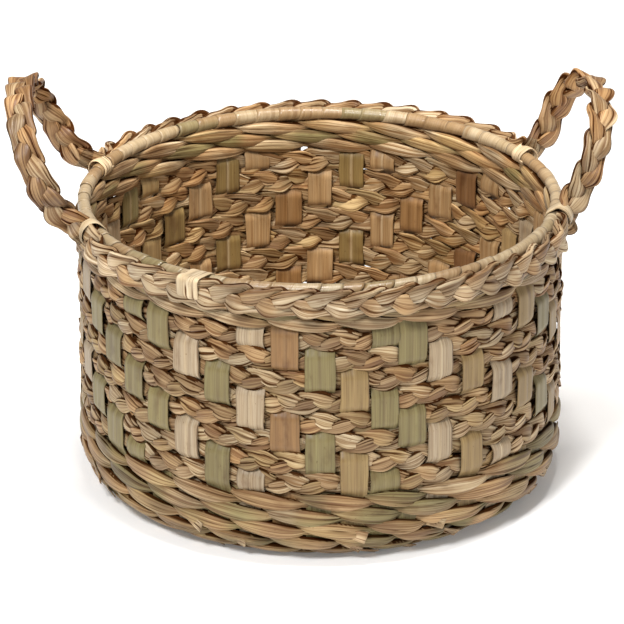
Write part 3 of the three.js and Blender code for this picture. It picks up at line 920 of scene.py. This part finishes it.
# Each lashing's stake, how far outside the hoop its middle lies and how far it reaches, in mm
LASHINGS = {
    "left_back": (19.5, 1.5, 7.0),
    "left_front": (24.7, 4.5, 9.6),
    "right_front": (42.5, 3.5, 9.5),
    "right_back": (3.5, 1.5, 7.0),
}
SPLICE = (29.4, 6.5, 12.0)  # a pale leaf wound round the hoop and the front plait
RIM_PERIOD = 73.5 * MM  # along the plait, for each of its strands
RIM_PHASE = 0.7
RIM_STEP = 1.6 * MM
FOOT_HEIGHT = 218.5 * MM  # of the plait where it crosses the hoop
FOOT_RADIUS = {"right": 185.0 * MM, "left": 185.5 * MM}
FOOT_LEAN = 0.7
LOOP_SQUARENESS = 2.05  # 2 would be an ellipse
LOOP_STATIONS = 41
SHOULDER = 10.0  # mm from the hinge to where a loop starts to curve in
SPLINE_STEPS = 24  # fine points between two points of the middle line
RIM_TOP = 226 * MM


def hinge(side):
    """A handle's hinge from the record: its direction from the axis, radius and height."""
    joint = next(j for j in frame["joints"] if j["name"] == f"handle_{side}_swing")
    x, y, z = joint["pos_m"]
    return math.atan2(y, x), math.hypot(x, y), z


def handle_points(side):
    """A loop's middle line with the way its plait lies across, from its first foot to its last."""
    handle = HANDLES[side]
    angle, radius, height = hinge(side)
    turn = np.linspace(0, math.pi, LOOP_STATIONS)
    power = 2 / LOOP_SQUARENESS
    sideways = -handle["half_width"] * np.sign(np.cos(turn)) * np.abs(np.cos(turn)) ** power
    up = SHOULDER + (handle["height"] - SHOULDER) * np.sin(turn).clip(0) ** power
    sideways = np.concatenate([[-handle["foot"]], sideways, [handle["foot"]]]) * MM
    up = np.concatenate([[0], up, [0]])
    out = radius + (handle["lean"] * up - handle["curl"] * up**2) * MM
    points = outward(angle) * out[:, None] + around(angle) * sideways[:, None]
    points[:, 2] = height + up * MM
    slope = handle["lean"] - 2 * handle["curl"] * up
    across = -outward(angle) + slope[:, None] * UP
    return points, unit(across)


def rim_points(start, end):
    """The plait's middle line along the hoop between two angles in degrees."""
    angle = np.radians(np.linspace(start, end, max(2, round((end - start) / 6))))
    points = outward(angle) * RIM_RADIUS
    points[:, 2] = RIM_HEIGHT
    return points, np.broadcast_to(UP, points.shape)


def foot_points(degrees, side):
    """Where the plait crosses the hoop at a foot, half way through its quarter turn."""
    out = outward(math.radians(degrees))
    point = out * FOOT_RADIUS[side] + UP * FOOT_HEIGHT
    across = UP - FOOT_LEAN * out
    return point[None, :], unit(across)[None, :]


def spline(points, across, step):
    """A closed Catmull-Rom line through the points, with stations a step apart."""
    fine, fine_across = [], []
    count = len(points)
    share = np.linspace(0, 1, SPLINE_STEPS, endpoint=False)[:, None]
    for i in range(count):
        a, b, c, d = (points[(i + k) % count] for k in (-1, 0, 1, 2))
        curve = 2 * a - 5 * b + 4 * c - d + share * (3 * (b - c) + d - a)
        fine.append(b + 0.5 * share * (c - a + share * curve))
        fine_across.append(mixed(across[i], across[(i + 1) % count], smooth(share)))
    fine, fine_across = np.concatenate(fine), np.concatenate(fine_across)
    along, total = distances(fine, True)
    steps = round(total / step)
    stations = np.arange(steps) / steps * total
    columns = np.hstack([fine, fine_across]).T
    line = np.stack([np.interp(stations, along, c, period=total) for c in columns], -1)
    return line[:, :3], unit(line[:, 3:])


class Cut(Weave):
    """A weave that keeps only a stretch of each closed strand.

    All of them draw the same random numbers, so that their stretches meet.
    """

    def __init__(self, name, keep):
        super().__init__("rim_and_handles")
        self.name = name
        self.keep = keep

    def add(self, grid, fibre, colour, fold_shade, loop):
        keep = self.keep
        super().add(grid[keep], fibre[keep], colour[keep], fold_shade[keep], False)


def rim_line():
    """The closed middle line of the rim plait and both handles, with the way across it."""
    parts = [
        rim_points(211, 339),
        foot_points(350.5, "right"),
        handle_points("right"),
        foot_points(31.0, "right"),
        rim_points(42, 148),
        foot_points(158.0, "left"),
        handle_points("left"),
        foot_points(202.0, "left"),
    ]
    points = np.concatenate([p for p, _ in parts])
    across = np.concatenate([a for _, a in parts])
    return spline(points, across, RIM_STEP)


def lashing_places(line):
    """The station of the middle line under each lashing."""
    angle = np.arctan2(line[:, 1], line[:, 0]) % TAU
    cuts = {}
    for place, (stake, _, _) in LASHINGS.items():
        away = np.abs((angle - crowded(stake * PITCH, WALL_RADIUS) + math.pi) % TAU - math.pi)
        cuts[place] = int(np.argmin(np.where(line[:, 2] < RIM_TOP, away, TAU)))
    return cuts


def rim_and_handles():
    """One closed plait, along the hoop and out into a loop at each side. Gives its points.

    It is cut under the lashings, and the pieces run a little past each cut.
    """
    line, flat = rim_line()
    cuts = lashing_places(line)
    count = len(line)
    periods = round(distances(line, True)[1] / RIM_PERIOD)
    stretches = {
        "rim_front": ("left_front", "right_front", "rim_plait_front"),
        "loop_right": ("right_front", "right_back", "handle_right"),
        "rim_back": ("right_back", "left_back", "rim_plait_back"),
        "loop_left": ("left_back", "left_front", "handle_left"),
    }
    made = []
    for name, (start, end, node) in stretches.items():
        length = (cuts[end] - cuts[start]) % count
        keep = (cuts[start] - 2 + np.arange(length + 5)) % count
        weave = Cut(f"plait_{name}", keep)
        is_loop = name.startswith("loop")
        palette = [WARM, ORANGE, PALE, PINK, WARM] if is_loop else [PINK, CREAM, STRAW, PINK, TAN]
        plait_strands(weave, line, flat, periods, RIM_PLAIT, 1, RIM_PHASE, palette)
        made.append(np.concatenate(weave.points))
        if is_loop:
            piece = place_piece(weave, "handle_plait", [node], None)
            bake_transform(piece)
        else:
            place_piece(weave, "rim_plait", [node])
    return np.concatenate(made)


# ---- Lashings ----


def hull(points):
    """The corners of the convex outline round points, counter-clockwise."""
    points = sorted(map(tuple, points))
    corners = []
    for run in (points, points[::-1]):
        side = []
        for p in run:
            while len(side) > 1:
                (ax, ay), (bx, by) = side[-2:]
                if (bx - ax) * (p[1] - ay) > (by - ay) * (p[0] - ax):
                    break
                side.pop()
            side.append(p)
        corners += side[:-1]
    return np.array(corners)


LASHING_STEPS = 64  # stations in one turn
LASHING_SIZE = (3.3, 2.6 * MM)  # turns and half width
SPLICE_SIZE = (3.2, 3.4 * MM)
LASHING_TONE = 1.08


def bound_outline(base, offset, reach, bound):
    """The tight outline, as radius and height, of the points that a lashing binds at an angle."""
    away = (np.arctan2(bound[:, 1], bound[:, 0]) - base + math.pi) % TAU - math.pi
    section = np.stack([np.hypot(bound[:, 0], bound[:, 1]), bound[:, 2]], -1)
    distance = np.linalg.norm(section - [HOOP_RADIUS + offset, HOOP_HEIGHT], axis=1)
    return hull(section[(np.abs(away) < math.radians(2)) & (distance < reach)])


def lashing(name, binding, size, bound, node):
    """A narrow pale leaf wound round the hoop and the plait, close to the points that it binds."""
    weave = Weave(name)
    rng = weave.rng
    stake, offset, reach = binding
    turns, half_width = size
    base = crowded(stake * PITCH, WALL_RADIUS)
    corners = bound_outline(base, offset * MM, reach * MM, bound)
    corners = np.append(corners, corners[:1], axis=0)
    lengths = np.append(0, np.cumsum(np.linalg.norm(np.diff(corners, axis=0), axis=1)))
    turn = np.arange(round(turns * LASHING_STEPS)) / LASHING_STEPS
    position = (turn % 1) * lengths[-1]
    outline = [blurred(np.interp(position, lengths, c), np.ones(5)) for c in corners.T]
    outline = np.stack(outline, -1)
    outline = outline + 0.7 * MM * unit(outline - corners.mean(0))
    outline = outline + 0.3 * MM * wander(rng, position, lengths[-1], 0.01)[:, None]
    angle = base + (turn - turns / 2) * 1.5 * half_width / HOOP_RADIUS
    centre = outward(angle) * outline[:, :1]
    centre[:, 2] = outline[:, 1]
    half = half_width * (1 + 0.12 * wander(rng, position, lengths[-1], 0.015))
    grid, fibre, colour, fold_shade = strand(
        rng, centre, around(angle), half, 0.2 * half, [CREAM, CREAM, PALE], False,
        sides=18, pleat=0.2 * MM,
    )
    weave.add(grid, fibre, LASHING_TONE * colour, fold_shade, False)
    place_piece(weave, "lashing", [node])


# ---- Scene ----


def build():
    for row in range(ROWS):
        wall_plait(row)
    top_rounds()
    foot_rounds()
    stakes()
    hoop_core()
    bound = np.concatenate([hoop(), rim_and_handles()])
    for place, binding in LASHINGS.items():
        lashing(f"lashing_band_{place}", binding, LASHING_SIZE, bound, f"lashing_{place}")
    lashing("splice_band", SPLICE, SPLICE_SIZE, bound, "rim_plait_front")


STUDIO_HALF_WIDTH = 9.0
FLOOR_GAP = 0.0002  # keeps the floor clear of the leaves that rest on it
PAPER = {
    "Base Color": (0.9, 0.9, 0.9, 1),
    "Roughness": 0.9,
    "Emission Color": (1, 1, 1, 1),
    "Emission Strength": 0.1,
}
WORLD_STRENGTH = 0.34
LIGHT_TARGET = (0, 0, 0.12)
# Name, place, diameter in metres, power in watts and colour
LIGHTS = [
    ("key", (-0.9, -1.9, 2.3), 0.7, 78, (1, 1, 1)),
    ("fill", (1.7, -1.8, 0.9), 1.4, 7, (1, 1, 1)),
    ("top", (0.1, -0.25, 2.6), 0.7, 66, (1, 0.97, 0.93)),
]


def area_light(name, place, size, power, colour):
    """A round soft light that points at the basket."""
    data = bpy.data.lights.new(name, "AREA")
    data.shape = "DISK"
    data.size = size
    data.energy = power
    data.color = colour
    light = new_object(name, data)
    light.location = place
    towards = Vector(LIGHT_TARGET) - Vector(place)
    light.rotation_euler = towards.to_track_quat("-Z", "Y").to_euler()


def studio():
    """A pale paper floor, a white surround and the lights."""
    size = STUDIO_HALF_WIDTH
    mesh = bpy.data.meshes.new("studio_floor")
    corners = [(-size, -size, 0), (size, -size, 0), (size, size, 0), (-size, size, 0)]
    mesh.from_pydata(corners, [], [(0, 1, 2, 3)])
    floor = new_object("studio_floor", mesh)
    floor.location.z = cad_box[0].z - FLOOR_GAP
    n = Nodes("studio_paper")
    for name, value in PAPER.items():
        n.shader.inputs[name].default_value = value
    mesh.materials.append(n.material)
    world = bpy.data.worlds.new("studio")
    world.use_nodes = True
    background = world.node_tree.nodes["Background"]
    background.inputs["Color"].default_value = (1, 1, 1, 1)
    background.inputs["Strength"].default_value = WORLD_STRENGTH
    bpy.context.scene.world = world
    for light in LIGHTS:
        area_light(*light)
    bpy.context.scene.view_settings.view_transform = "Standard"


CAMERA_ELEVATION = math.radians(23.42)
CAMERA_DISTANCE = 3.6
CAMERA_TARGET = Vector((-0.00615, 0, 0.1251))
CAMERA_LENS, CAMERA_SENSOR = 275.3, 36  # mm


def camera():
    """The photograph's view, from the front and above."""
    data = bpy.data.cameras.new("photo_view")
    data.lens = CAMERA_LENS
    data.sensor_width = CAMERA_SENSOR
    view = new_object("photo_view", data)
    away = Vector((0, -math.cos(CAMERA_ELEVATION), math.sin(CAMERA_ELEVATION)))
    view.location = CAMERA_TARGET + CAMERA_DISTANCE * away
    view.rotation_euler = (-away).to_track_quat("-Z", "Y").to_euler()
    bpy.context.scene.camera = view


build()
studio()
camera()
